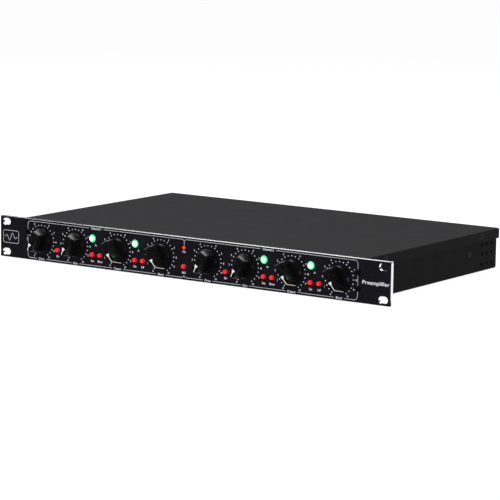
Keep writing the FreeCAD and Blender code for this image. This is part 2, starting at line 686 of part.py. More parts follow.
def shaft(name, x, angle):
    """Turning shaft: round in the bush, flatted where the knob grips it."""
    body = new_body("Shaft")
    whole = sketch_on(body, "XY_Plane", -d.shaft_in)
    draw_circle(whole, 0, 0, d.shaft_radius)
    pad(body, whole, d.shaft_in + d.flat_start)
    end = sketch_on(body, "XY_Plane", d.flat_start)
    draw_flatted_circle(end, d.shaft_radius, d.shaft_flat)
    pad(body, end, d.shaft_out - d.flat_start)
    move(body, x, panel_front, 0, TO_FRONT * FreeCAD.Rotation(Z_AXIS, -angle))
    keep(body, f"shaft_{name}")


def potentiometers():
    behind = d.panel_thick + d.pot_start
    half = d.pot_size / 2
    case = block((-half, half), (-half, half), (-(behind + d.pot_depth), -behind))
    bush = rod(d.bush_radius, behind + d.bush_out, 0, 0, -behind)
    bore = rod(d.pot_bore, d.pot_bore_in + d.bush_out, 0, 0, -d.pot_bore_in)
    pot = cut(fused(case, bush), bore)
    nut = cut(hexagon(d.nut_flats, d.nut_height), rod(d.bush_radius + 0.02, d.nut_height))
    places = [(x, panel_front, 0, TO_FRONT) for x, _ in knob_places.values()]
    keep(copies(pot, places), "pot_bodies")
    keep(copies(nut, places), "pot_nuts")


# ---- push buttons and lamps ------------------------------------------------------------------

def button(name, x):
    """Round cap with its stem moulded on; the cap tapers a little and its edge is rounded."""
    body = new_body("Button")
    flat = sketch_on(body, "XZ_Plane")
    top_radius = d.cap_radius - d.cap_draft
    draw_outline(flat, [
        (0, -d.stem_back), (d.stem_radius, -d.stem_back), (d.stem_radius, -d.cap_back),
        (d.cap_radius, -d.cap_back), (top_radius, d.cap_top), (0, d.cap_top),
    ])
    turned = revolve(body, flat)
    soften(
        body, "Fillet", turned,
        lambda edge: near(edge.BoundBox.ZMin, d.cap_top) and near(edge.BoundBox.XMax, top_radius),
        d.cap_round,
    )
    move(body, x, panel_front, d.button_z, TO_FRONT)
    keep(body, f"button_{name}")


def switches():
    half = d.switch_size / 2
    board_back = d.panel_thick + d.front_board_y
    case = block((-half, half), (-half, half), (-board_back, -d.switch_front))
    hole = rod(d.stem_hole, d.stem_hole_back, 0, 0, -d.stem_hole_back)
    places = [(x, panel_front, d.button_z, TO_FRONT) for x in button_places.values()]
    keep(copies(cut(case, hole), places), "switch_bodies")


def lamp(radius, collar):
    """Round-nosed lamp with a collar and two leads that reach the front board."""
    barrel = rod(radius, d.lamp_back + d.lamp_straight, 0, 0, -d.lamp_back)
    nose = doc.addObject("Part::Sphere", "Nose")
    bind(nose, "Radius", radius)
    move(nose, 0, 0, d.lamp_straight)
    rim = rod(collar, d.collar_thick, 0, 0, -d.lamp_back)
    reach = d.panel_thick + d.front_board_y
    half = d.lead_size / 2
    leads = []
    for side in SIDES:
        middle = d.lead_step * side
        lead_top = d.collar_thick / 2 - d.lamp_back
        leads.append(block((middle - half, middle + half), (-half, half), (-reach, lead_top)))
    return fused(barrel, nose, rim, *leads)


def lamps():
    level = lamp(d.lamp_radius, d.lamp_collar)
    keep(copies(level, [(x, panel_front, d.lamp_z, TO_FRONT) for x in lamp_places]), "level_leds")
    power = lamp(d.small_lamp_radius, d.small_lamp_collar)
    keep(move(power, d.field_centre, panel_front, d.power_lamp_z, TO_FRONT), "power_led")


# ---- circuit boards and what stands on them --------------------------------------------------

board_top = d.main_z + d.board_thick


def fixing_places():
    middle = (d.main_left + d.main_right) / 2
    columns = (d.main_left + d.fixing_inset, middle, d.main_right - d.fixing_inset)
    return [(x, y) for x in columns for y in (d.main_front + d.fixing_inset, d.main_rear - d.fixing_inset)]


def boards():
    rise = d.front_board_rise
    half = d.front_board_half
    front = block((-half, half), (d.front_board_y, d.front_board_y + d.board_thick), (-rise, rise))
    keep(front, "front_board")
    plate = block((d.main_left, d.main_right), (d.main_front, d.main_rear), (d.main_z, board_top))
    holes = [rod(d.free_radius, d.board_thick, x, y, d.main_z) for x, y in fixing_places()]
    keep(cut(plate, *holes), "main_board")

    height = d.main_z - floor_top
    post = cut(rod(d.standoff_radius, height), rod(d.tapped_radius, height))
    screw = socket_screw(d.board_screw_length)
    posts = [(x, y, floor_top, None) for x, y in fixing_places()]
    tops = [(x, y, board_top, None) for x, y in fixing_places()]
    keep(group(copies(post, posts), copies(screw, tops)), "board_fixings")


def ribbon():
    """Flat cable from the front board's header, back and down into the main board's header."""
    half = d.header_width / 2
    start = d.front_board_y + d.board_thick
    middle = d.field_centre
    across = (middle - half, middle + half)
    front_end = start + d.front_header_length
    deep = d.header_depth / 2
    front = block(across, (start, front_end), (d.ribbon_z - deep, d.ribbon_z + deep))
    top = board_top + d.main_header_height
    main = block(across, (d.ribbon_drop_y - deep, d.ribbon_drop_y + deep), (board_top, top))
    keep(group(front, main), "ribbon_headers")

    body = new_body("Ribbon")
    route = sketch_on(body, "YZ_Plane")
    begin = FreeCAD.Vector(front_end.value, d.ribbon_z.value, 0)
    bend = FreeCAD.Vector((d.ribbon_drop_y - d.ribbon_bend).value, d.ribbon_z.value, 0)
    centre = bend - FreeCAD.Vector(0, d.ribbon_bend.value, 0)
    drop = FreeCAD.Vector(d.ribbon_drop_y.value, centre.y, 0)
    finish = FreeCAD.Vector(d.ribbon_drop_y.value, top.value, 0)
    level = route.addGeometry(Part.LineSegment(begin, bend))
    corner = Part.Circle(centre, Z_AXIS, d.ribbon_bend.value)
    turn = route.addGeometry(Part.ArcOfCircle(corner, 0, math.pi / 2))
    fall = route.addGeometry(Part.LineSegment(drop, finish))
    route.addConstraint(Sketcher.Constraint("Tangent", level, 2, turn, 2))
    route.addConstraint(Sketcher.Constraint("Tangent", turn, 1, fall, 1))
    fix(route, "Radius", d.ribbon_bend, turn)
    fix_point(route, level, 1, front_end, d.ribbon_z)
    route.addConstraint(Sketcher.Constraint("Horizontal", level))
    fix_point(route, fall, 2, d.ribbon_drop_y, top)
    section = sketch_on(body, "XZ_Plane", -front_end)
    wide = d.ribbon_width / 2
    thin = d.ribbon_thick / 2
    draw_rectangle(section, -wide, wide, d.ribbon_z - thin, d.ribbon_z + thin)
    cable = body.newObject("PartDesign::AdditivePipe", "Cable")
    cable.Profile = section
    cable.Spine = (route, ["Edge1", "Edge2", "Edge3"])
    keep(move(body, middle, 0, 0), "ribbon_cable")


def audio_transformers():
    """Screened cans, one for each input and each output."""
    body = new_body("Can")
    flat = sketch_on(body, "XY_Plane")
    half = d.can_size / 2
    draw_rectangle(flat, -half, half, -half, half)
    can = pad(body, flat, d.can_height)
    soften(
        body, "Fillet", can,
        lambda edge: near(edge.Length, d.can_height) or near(edge.BoundBox.ZMin, d.can_height), d.can_round,
    )
    places = [(x, d.can_y, board_top, None) for x in input_places + output_places]
    keep(copies(body, places), "audio_transformers")


def capacitors():
    """Upright electrolytic capacitors, each with a crimped groove."""
    body = new_body("Capacitor")
    flat = sketch_on(body, "XZ_Plane")
    radius = d.capacitor_radius
    edge = d.capacitor_edge
    draw_outline(flat, [
        (0, 0), (radius, 0), (radius, d.groove_height - edge), (radius - d.groove_depth, d.groove_height),
        (radius, d.groove_height + edge), (radius, d.capacitor_height - edge),
        (radius - edge, d.capacitor_height), (0, d.capacitor_height),
    ])
    revolve(body, flat)
    places = []
    for column in range(5):
        for row in range(2):
            x = d.capacitor_x + d.capacitor_step_x * column
            places.append((x, d.capacitor_y - d.capacitor_step_y * row, board_top, None))
    for row in range(4):
        places.append((d.main_right - d.supply_step, d.capacitor_y + d.supply_step * row, board_top, None))
    keep(copies(body, places), "capacitors")


# ---- power supply ----------------------------------------------------------------------------

def supply_cooling():
    """Finned plate against the right wall, with two regulators clamped on it."""
    outside = inner_half - d.case_gap
    inside = outside - d.sink_thick
    y_middle = d.sink_screw_y
    rise = d.sink_rise
    plate = block((inside, outside), (y_middle - d.sink_half, y_middle + d.sink_half), (-rise, rise))
    fins = []
    half = d.sink_fin_thick / 2
    for level in range(-2, 3):
        z = d.sink_fin_step * level
        fins.append(block(
            (inside - d.sink_fin_length, inside + d.sink_thick / 2),
            (y_middle + d.sink_fin_start, y_middle + d.sink_half), (z - half, z + half),
        ))
    hole = rod(d.tapped_radius, d.sink_thick + OVER * 2, inside - OVER, y_middle, d.sink_screw_z, TO_RIGHT)
    keep(cut(fused(plate, *fins), hole), "heatsink")
    low = d.regulator_lift - rise
    regulators = []
    for index in range(2):
        y = y_middle - d.sink_half + d.regulator_inset + d.regulator_step * index
        regulators.append(block(
            (inside - d.regulator_thick, inside), (y, y + d.regulator_width), (low, low + d.regulator_height),
        ))
    keep(group(*regulators), "regulators")


def mains_transformer():
    """Wound ring that stands on the tray, with rounded corners."""
    body = new_body("Toroid")
    flat = sketch_on(body, "XZ_Plane")
    draw_rectangle(flat, d.toroid_bore, d.toroid_radius, 0, d.toroid_height)
    ring = revolve(body, flat)
    soften(body, "Fillet", ring, lambda edge: edge.isClosed(), d.toroid_round)
    base = floor_top + d.toroid_lift
    keep(move(body, d.toroid_x, d.toroid_y, base), "mains_transformer")

    foot = rod(d.stud_foot_radius, d.steel, 0, 0, -d.tray_drop)
    stud = rod(d.stud_radius, d.stud_length, 0, 0, -d.tray_drop)
    top = base + d.toroid_height
    washer_hole = rod(d.stud_radius + d.fit, d.washer_thick, 0, 0, top)
    washer = cut(rod(d.washer_radius, d.washer_thick, 0, 0, top), washer_hole)
    nut_hole = rod(d.stud_radius + d.fit, d.stud_nut_height + d.washer_thick, 0, 0, top)
    nut = cut(hexagon(d.stud_nut_flats, d.stud_nut_height, 0, 0, top + d.washer_thick), nut_hole)
    clamp = group(fused(foot, stud), washer, nut)
    keep(move(clamp, d.toroid_x, d.toroid_y, 0), "transformer_clamp")


# ---- sockets of the rear panel ---------------------------------------------------------------

input_places = [d.first_socket + d.socket_pitch * index for index in range(2)]
output_places = [x + d.socket_step for x in input_places]
PIN_DIRECTIONS = ((-1, 0), (1, 0), (0, -1))


def socket_shell():
    """Flange and barrel shared by both kinds of socket; +Z leaves the rear panel."""
    body = new_body("SocketShell")
    flat = sketch_on(body, "XY_Plane")
    draw_rectangle(flat, -d.socket_half_x, d.socket_half_x, -d.socket_half_z, d.socket_half_z)
    plate = pad(body, flat, d.rear_flange_thick)
    soften(body, "Fillet", plate, lambda edge: near(edge.Length, d.rear_flange_thick), d.socket_corner)
    barrel = sketch_on(body, "XY_Plane")
    draw_circle(barrel, 0, 0, d.barrel_radius)
    pad(body, barrel, d.barrel_depth, back=True)
    holes = sketch_on(body, "XY_Plane")
    for side in SIDES:
        draw_circle(holes, -d.socket_screw_x * side, -d.socket_screw_z * side, d.free_radius)
    pocket(body, holes, d.rear_flange_thick * 3, both=True)
    return body


def contact_rods(radius, length, start):
    """One rod at each of a socket's three contacts."""
    return [rod(radius, length, d.pin_spread * x, -d.pin_spread * y, start) for x, y in PIN_DIRECTIONS]


def sockets():
    face = d.rear_flange_thick
    depth = d.plug_ring_depth
    ring = cut(
        rod(d.plug_ring_outer, depth + OVER, 0, 0, face - depth),
        rod(d.plug_ring_inner, depth + OVER, 0, 0, face - depth),
    )
    play = d.latch_play
    latch_room = block(
        (-d.latch_half - play, d.latch_half + play), (-d.latch_high - play, play - d.latch_low),
        (-d.latch_in - d.latch_travel - play * 3, face + OVER),
    )
    behind = -d.barrel_depth - OVER
    through = d.barrel_depth + face + OVER * 2
    female = cut(socket_shell(), ring, latch_room, *contact_rods(d.contact_hole, through, behind))
    input_spots = [(x, d.tray_end, d.rear_row_z, TO_REAR) for x in input_places]
    keep(copies(female, input_spots), "input_sockets")

    cavity = rod(d.plug_cavity, d.plug_cavity_depth + OVER, 0, 0, face - d.plug_cavity_depth)
    male = cut(socket_shell(), cavity, *contact_rods(d.pin_radius + d.fit, through, behind))
    output_spots = [(x, d.tray_end, d.rear_row_z, TO_REAR) for x in output_places]
    keep(copies(male, output_spots), "output_sockets")

    back = -(d.barrel_depth + d.pin_tail)
    pins = contact_rods(d.pin_radius, d.pin_out + face - d.plug_cavity_depth - back, back)
    sleeve_length = face - back - OVER
    tubes = contact_rods(d.sleeve_radius, sleeve_length, back)
    bores = contact_rods(d.sleeve_bore, sleeve_length, back + d.sleeve_solid)
    sleeves = [cut(tube, bore) for tube, bore in zip(tubes, bores)]
    males = copies(group(*pins), output_spots)
    females = copies(group(*sleeves), input_spots)
    keep(group(males, females), "socket_contacts")


def latches():
    """Push tabs above the female sockets, each free to slide inwards."""
    for channel, x in enumerate(input_places, start=1):
        tab = block(
            (x - d.latch_half, x + d.latch_half), (d.tray_end - d.latch_in, rear_out + d.latch_out),
            (d.rear_row_z + d.latch_low, d.rear_row_z + d.latch_high),
        )
        edge = doc.addObject("Part::Fillet", "Tab")
        edge.Base = tab
        doc.recompute()
        end = rear_out + d.latch_out
        lines = enumerate(tab.Shape.Edges, start=1)
        outer = [number for number, line in lines if near(line.BoundBox.YMin, end)]
        edge.Edges = [(number, d.latch_round.value, d.latch_round.value) for number in outer]
        keep(edge, f"latch_{channel}")


# ---- mains inlet and switch ------------------------------------------------------------------

def at_inlet(low, high):
    """Limits in X, given from the inlet's centre."""
    return (d.inlet_x + low, d.inlet_x + high)


def at_row(low, high):
    """Limits in Z, given from the rear row's centre."""
    return (d.rear_row_z + low, d.rear_row_z + high)


def mains_inlet():
    half = d.inlet_body_half
    rim = half + d.inlet_rim
    flange = block(at_inlet(-d.inlet_half_x, d.inlet_half_x), (d.tray_end, rear_out), at_row(-rim, rim))
    case = block(at_inlet(-half, half), (d.tray_end - d.inlet_depth, rear_out), at_row(-half, half))
    plug = block(
        at_inlet(-d.plug_half_x, d.plug_half_x), (rear_out - d.plug_depth, rear_out + OVER),
        at_row(d.plug_low, d.plug_high),
    )
    play = d.drawer_play
    drawer_room = block(
        at_inlet(-d.drawer_half - play, d.drawer_half + play),
        (d.tray_end - d.drawer_depth - play, rear_out + OVER),
        at_row(d.drawer_low - play, d.drawer_high + play),
    )
    blade_start = d.tray_end - d.inlet_depth - d.blade_tail
    blade_end = rear_out - d.plug_depth + d.blade_out
    blades = []
    slots = []
    for step, level in ((-1, -1), (1, -1), (0, 1)):
        x = d.blade_step * step
        z = d.blade_mid_z + d.blade_rise * level
        for made, margin in ((blades, 0), (slots, d.blade_play)):
            wide = d.blade_half_x + margin
            tall = d.blade_half_z + margin
            across = at_inlet(x - wide, x + wide)
            made.append(block(across, (blade_start, blade_end), at_row(z - tall, z + tall)))
    holes = []
    deep = d.rear_flange_thick + OVER * 2
    for side in SIDES:
        x = d.inlet_x + d.inlet_screw_x * side
        holes.append(rod(d.free_radius, deep, x, d.tray_end - OVER, d.rear_row_z, TO_REAR))
    keep(cut(fused(flange, case), plug, drawer_room, *slots, *holes), "iec_inlet")
    keep(group(*blades), "iec_pins")

    front = block(
        at_inlet(-d.drawer_half, d.drawer_half), (d.tray_end - d.drawer_depth, rear_out + d.drawer_out),
        at_row(d.drawer_low, d.drawer_high),
    )
    middle = (d.drawer_low + d.drawer_high) / 2
    grip = block(
        at_inlet(-d.grip_half_x, d.grip_half_x), (rear_out, rear_out + d.grip_out),
        at_row(middle - d.grip_half_z, middle + d.grip_half_z),
    )
    keep(fused(front, grip), "fuse_drawer")


def mains_switch():
    face = d.tray_end + d.bezel_thick
    x = d.switch_x
    rim = d.bezel_half_z
    bezel = block((x - d.bezel_half_x, x + d.bezel_half_x), (d.tray_end, face), at_row(-rim, rim))
    case = block(
        (x - d.frame_half_x, x + d.frame_half_x), (d.tray_end - d.frame_depth, face),
        at_row(-d.frame_half_z, d.frame_half_z),
    )
    well = block(
        (x - d.well_half_x, x + d.well_half_x), (face - d.well_depth, face + OVER),
        at_row(-d.well_half_z, d.well_half_z),
    )
    reach = d.pivot_half + d.play
    hole = rod(d.pivot_hole, reach * 2, x - reach, d.pivot_y, d.rear_row_z, TO_RIGHT)
    keep(cut(fused(bezel, case), well, hole), "rocker_frame")

    body = new_body("Rocker")
    flat = sketch_on(body, "YZ_Plane", -d.rocker_half_x)
    draw_outline(flat, [
        (-d.rocker_foot, -d.rocker_foot_half), (d.rocker_shoulder, -d.rocker_half_z),
        (d.rocker_tip, -d.rocker_half_z), (d.rocker_waist, 0), (d.rocker_tip, d.rocker_half_z),
        (d.rocker_shoulder, d.rocker_half_z), (-d.rocker_foot, d.rocker_foot_half),
    ])
    pad(body, flat, d.rocker_half_x * 2)
    pin = sketch_on(body, "YZ_Plane", -d.pivot_half)
    draw_circle(pin, 0, 0, d.pivot_radius)
    pad(body, pin, d.pivot_half * 2)
    # At rest the switch is on: its upper half is pressed in.
    move(body, x, d.pivot_y, d.rear_row_z, FreeCAD.Rotation(X_AXIS, d.rocker_tilt.value))
    keep(body, "rocker")


front_panel()
base_tray()
top_cover()
rear_panel()
screws()
for name, (x, angle) in knob_places.items():
    knob(name, x, angle)
    shaft(name, x, angle)
potentiometers()
for name, x in button_places.items():
    button(name, x)
switches()
lamps()
boards()
ribbon()
audio_transformers()
capacitors()
supply_cooling()
mains_transformer()
sockets()
latches()
mains_inlet()
mains_switch()
doc.recompute()

for item in doc.Objects:
    if "Invalid" in item.State or "Error" in item.State:
        raise RuntimeError(f"{item.Name} ({item.Label}) failed: {item.State}")
for item in parts:
    if item.Shape.isNull() or not item.Shape.isValid():
        raise RuntimeError(f"{item.Label} has no valid shape")

os.makedirs("parts", exist_ok=True)
for item in parts:
    item.Shape.exportStep(os.path.join("parts", f"{item.Label}.step"))
print(f"{len(parts)} sub-parts written")
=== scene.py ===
import json
import math

import bmesh
import bpy
from mathutils import Matrix, Vector


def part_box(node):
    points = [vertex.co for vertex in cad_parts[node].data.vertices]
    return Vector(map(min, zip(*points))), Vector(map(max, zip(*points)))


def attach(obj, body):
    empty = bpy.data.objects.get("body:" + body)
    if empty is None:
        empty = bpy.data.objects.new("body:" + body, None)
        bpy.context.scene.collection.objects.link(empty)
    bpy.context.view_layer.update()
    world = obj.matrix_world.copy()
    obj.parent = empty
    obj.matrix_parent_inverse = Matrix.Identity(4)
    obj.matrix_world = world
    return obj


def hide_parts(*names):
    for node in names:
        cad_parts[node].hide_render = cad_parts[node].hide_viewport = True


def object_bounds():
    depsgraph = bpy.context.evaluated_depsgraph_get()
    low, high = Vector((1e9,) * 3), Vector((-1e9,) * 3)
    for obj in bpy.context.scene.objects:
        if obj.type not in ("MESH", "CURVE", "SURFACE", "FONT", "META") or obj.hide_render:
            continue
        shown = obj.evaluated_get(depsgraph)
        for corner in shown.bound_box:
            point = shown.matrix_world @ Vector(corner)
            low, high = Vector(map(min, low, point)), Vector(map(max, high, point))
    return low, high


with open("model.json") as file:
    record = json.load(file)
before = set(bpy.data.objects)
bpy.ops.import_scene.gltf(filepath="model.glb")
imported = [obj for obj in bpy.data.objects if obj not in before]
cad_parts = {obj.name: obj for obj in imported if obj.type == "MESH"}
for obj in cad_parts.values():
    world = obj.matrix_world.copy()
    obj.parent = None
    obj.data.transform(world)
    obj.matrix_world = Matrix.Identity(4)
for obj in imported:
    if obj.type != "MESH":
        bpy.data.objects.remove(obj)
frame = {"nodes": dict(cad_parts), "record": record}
CAD_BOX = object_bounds()

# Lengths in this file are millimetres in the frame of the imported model, unless a name says otherwise.
MM = 0.001

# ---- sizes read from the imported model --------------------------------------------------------


def box_mm(node):
    """Lowest and highest corner of a CAD node, in millimetres."""
    low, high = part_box(node)
    return low / MM, high / MM


def centre_mm(node):
    low, high = box_mm(node)
    return (low + high) / 2


PANEL_FRONT = box_mm("front_panel")[0].y
FLOOR = CAD_BOX[0].z / MM
CHANNELS = (1, 2)
# Knob angles at rest, clockwise from the top: two point to 0 on their dials and two to 10.
REST_ANGLE = {"drive": -150, "gain": -150, "output": 150, "blend": 150}
KNOBS = [f"{kind}_{channel}" for channel in CHANNELS for kind in REST_ANGLE]
BUTTONS = [f"{kind}_{channel}" for channel in CHANNELS for kind in ("tx", "set", "even", "ge", "hf")]
BUTTONS.append("centre")


def knob_x(name):
    return centre_mm(f"shaft_{name}").x


def button_centre(name):
    return centre_mm(f"button_{name}")


FIELD_CENTRE = button_centre("centre").x
BUTTON_Z = button_centre("centre").z

# ---- materials -------------------------------------------------------------------------------


class Finish:
    """A new material, with short ways to add nodes to it."""

    def __init__(self, name, color, roughness, metallic=0.0, specular=0.5):
        self.made = bpy.data.materials.new(name)
        self.made.use_nodes = True
        self.tree = self.made.node_tree
        self.shader = self.tree.nodes["Principled BSDF"]
        self.place = self.add("ShaderNodeTexCoord").outputs["Object"]
        self.set("Base Color", (*color, 1.0))
        self.set("Roughness", roughness)
        self.set("Metallic", metallic)
        self.set("Specular IOR Level", specular)

    def add(self, kind, inputs=None, **settings):
        node = self.tree.nodes.new(kind)
        for key, value in settings.items():
            setattr(node, key, value)
        for key, value in (inputs or {}).items():
            if isinstance(value, bpy.types.NodeSocket):
                self.tree.links.new(value, node.inputs[key])
            else:
                node.inputs[key].default_value = value
        return node

    def set(self, socket, value):
        self.shader.inputs[socket].default_value = value

    def link(self, socket, output):
        self.tree.links.new(output, self.shader.inputs[socket])

    def noise(self, grain_mm, detail=3.0, stretch=(1, 1, 1)):
        """Noise whose grains are about grain_mm across; stretch squeezes it along the axes."""
        spread = self.add("ShaderNodeMapping", {"Vector": self.place, "Scale": stretch})
        inputs = {"Vector": spread.outputs["Vector"], "Scale": 1 / (grain_mm * MM), "Detail": detail}
        return self.add("ShaderNodeTexNoise", inputs).outputs["Fac"]

    def ramp(self, value, *stops):
        """Colours along a value: stops are (place, colour)."""
        node = self.add("ShaderNodeValToRGB", {"Fac": value})
        points = node.color_ramp.elements
        while len(points) < len(stops):
            points.new(0.5)
        for point, (place, color) in zip(points, stops):
            point.position = place
            point.color = (*color, 1.0)
        return node.outputs["Color"]

    def span(self, value, low, high):
        """A value that ran from 0 to 1, now running from low to high."""
        node = self.add("ShaderNodeMapRange", {"Value": value, "To Min": low, "To Max": high})
        return node.outputs["Result"]

    def mix(self, share, first, second):
        node = self.add("ShaderNodeMix", data_type="RGBA")
        self.tree.links.new(share, node.inputs["Factor"])
        for socket, value in ((node.inputs[6], first), (node.inputs[7], second)):
            if isinstance(value, bpy.types.NodeSocket):
                self.tree.links.new(value, socket)
            else:
                socket.default_value = (*value, 1.0)
        return node.outputs[2]

    def math(self, operation, *values, clamp=False):
        node = self.add("ShaderNodeMath", operation=operation, use_clamp=clamp)
        for socket, value in zip(node.inputs, values):
            if isinstance(value, bpy.types.NodeSocket):
                self.tree.links.new(value, socket)
            else:
                socket.default_value = value
        return node.outputs[0]

    def bump(self, height, depth_mm, strength=0.5):
        inputs = {"Height": height, "Distance": depth_mm * MM, "Strength": strength}
        self.link("Normal", self.add("ShaderNodeBump", inputs).outputs["Normal"])


def scaled(color, factor):
    return tuple(part * factor for part in color)


def grained(
    name, color, roughness, grain_mm, depth_mm, metallic=0.0, specular=0.5, spread=0.25, stretch=(1, 1, 1),
):
    """The common case: a colour and a gloss that vary a little, over a fine surface grain."""
    finish = Finish(name, color, roughness, metallic, specular)
    mottle = finish.noise(grain_mm * 14, 4.0)
    shade = finish.ramp(mottle, (0.3, scaled(color, 1 - spread)), (0.7, scaled(color, 1 + spread)))
    finish.link("Base Color", shade)
    finish.link("Roughness", finish.span(mottle, roughness * 0.88, min(1.0, roughness * 1.12)))
    finish.bump(finish.noise(grain_mm, 2.0, stretch), depth_mm)
    return finish


def panel_finish():
    """Black anodising on the flat faces, and bare machined metal on every edge and in every slot."""
    finish = Finish("panel_black", (0.01, 0.009, 0.013), 0.42, specular=0.1)
    normal = finish.add("ShaderNodeNewGeometry").outputs["True Normal"]
    facing = finish.add("ShaderNodeSeparateXYZ", {"Vector": normal})
    flat = finish.math("GREATER_THAN", finish.math("ABSOLUTE", facing.outputs["Y"]), 0.9)
    mottle = finish.noise(3.0, 5.0)
    black = finish.ramp(mottle, (0.35, (0.0072, 0.0065, 0.0105)), (0.65, (0.0105, 0.0095, 0.0145)))
    scratch = finish.noise(0.5, 3.0, (0.04, 1, 1))
    metal = finish.ramp(scratch, (0.3, (0.74, 0.74, 0.76)), (0.7, (0.97, 0.97, 0.98)))
    finish.link("Base Color", finish.mix(flat, metal, black))
    finish.link("Metallic", finish.math("SUBTRACT", 1.0, flat))
    finish.link("Roughness", finish.span(flat, 0.24, 0.46))
    finish.bump(finish.noise(0.22, 2.0), 0.012, 0.35)
    return finish


def cover_finish(name, tint, specular):
    """Powder coat: a fine orange-peel texture, faint mottling and a few dust specks."""
    finish = Finish(name, tint, 0.5, specular=specular)
    mottle = finish.noise(22.0, 5.0)
    body = finish.ramp(mottle, (0.3, scaled(tint, 0.9)), (0.7, scaled(tint, 1.1)))
    speck = finish.math("GREATER_THAN", finish.noise(0.6, 1.0), 0.79)
    finish.link("Base Color", finish.mix(speck, body, scaled(tint, 1.7)))
    finish.link("Roughness", finish.span(mottle, 0.46, 0.56))
    finish.bump(finish.noise(0.45, 3.0), 0.03, 0.4)
    return finish


def knob_finish():
    """Satin black moulding: a slow swirl in the sheen and faint hairline marks."""
    finish = Finish("knob_black", (0.004, 0.004, 0.0045), 0.26, specular=0.6)
    swirl = finish.noise(5.0, 3.0)
    marks = finish.noise(0.5, 2.0, (1, 1, 0.06))
    shade = finish.ramp(swirl, (0.3, (0.003, 0.003, 0.0034)), (0.7, (0.0055, 0.0055, 0.006)))
    finish.link("Base Color", shade)
    finish.link("Roughness", finish.span(swirl, 0.22, 0.3))
    finish.bump(marks, 0.0015, 0.2)
    return finish


def button_finish():
    """Red cap with a painted glow: its red is also emitted evenly to brighten it, and it has a faint
    cloudiness in its red.
    """
    finish = Finish("button_red", (0.85, 0.012, 0.02), 0.34)
    cloud = finish.noise(1.3, 3.0)
    red = finish.ramp(cloud, (0.3, (0.72, 0.008, 0.014)), (0.7, (0.95, 0.02, 0.03)))
    finish.link("Base Color", red)
    # Painted glow: the cap is no lamp, yet its red is emitted evenly to brighten it.
    finish.link("Emission Color", red)
    finish.set("Emission Strength", 0.4)
    finish.bump(finish.noise(0.3, 2.0), 0.008, 0.3)
    return finish


def lamp_finish(name, color, strength, height_mm, rim, heart):
    """A lit lens: hottest at its crown and a deeper colour at its rim, by height on its axis."""
    finish = Finish(name, color, 0.12)
    along = finish.add("ShaderNodeSeparateXYZ", {"Vector": finish.place}).outputs["Z"]
    grain = finish.span(finish.noise(0.8, 2.0), -0.03, 0.03)
    share = finish.math("ADD", finish.math("DIVIDE", along, height_mm * MM), grain, clamp=True)
    finish.link("Base Color", finish.ramp(share, (0.0, color), (0.6, scaled(color, 0.8))))
    # Low down, and on the flat lens ring round the barrel, the rim colour glows; on the ring this is a
    # painted halo of the lamp's light on the panel.
    finish.link("Emission Color", finish.ramp(share, (0.22, rim), (0.34, heart)))
    finish.set("Emission Strength", strength)
    return finish


def board_finish():
    """Green solder mask with copper tracks that show through in two directions."""
    finish = Finish("circuit_board", (0.01, 0.09, 0.035), 0.3)
    tracks = finish.noise(7.0, 1.0, (1, 0.15, 1))
    crossing = finish.noise(5.0, 1.0, (0.15, 1, 1))
    ridge = finish.math("GREATER_THAN", finish.math("MAXIMUM", tracks, crossing), 0.56)
    finish.link("Base Color", finish.mix(ridge, (0.008, 0.07, 0.028), (0.02, 0.16, 0.05)))
    finish.bump(ridge, 0.03)
    return finish


def winding_finish():
    """Amber film wound round the ring in radial turns."""
    finish = Finish("winding_tape", (0.55, 0.3, 0.06), 0.3)
    middle = centre_mm("mains_transformer") * MM
    shifted = finish.add("ShaderNodeVectorMath", {0: finish.place, 1: tuple(middle)}, operation="SUBTRACT")
    parts = finish.add("ShaderNodeSeparateXYZ", {"Vector": shifted.outputs["Vector"]})
    angle = finish.math("ARCTAN2", parts.outputs["Y"], parts.outputs["X"])
    turns = finish.math("SINE", finish.math("MULTIPLY", angle, 46.0))
    share = finish.span(turns, 0.35, 1.0)
    finish.link("Base Color", finish.mix(share, (0.3, 0.15, 0.03), (0.62, 0.36, 0.08)))
    finish.bump(turns, 0.12)
    return finish


def ribbon_finish():
    """Grey flat cable: parallel cores along its length."""
    finish = Finish("ribbon_grey", (0.36, 0.36, 0.38), 0.5)
    across = finish.add("ShaderNodeSeparateXYZ", {"Vector": finish.place}).outputs["X"]
    cores = finish.math("SINE", finish.math("MULTIPLY", across, 2 * math.pi / (1.27 * MM)))
    finish.link("Base Color", finish.mix(finish.span(cores, 0.0, 1.0), (0.2, 0.2, 0.21), (0.42, 0.42, 0.44)))
    finish.bump(cores, 0.2)
    return finish


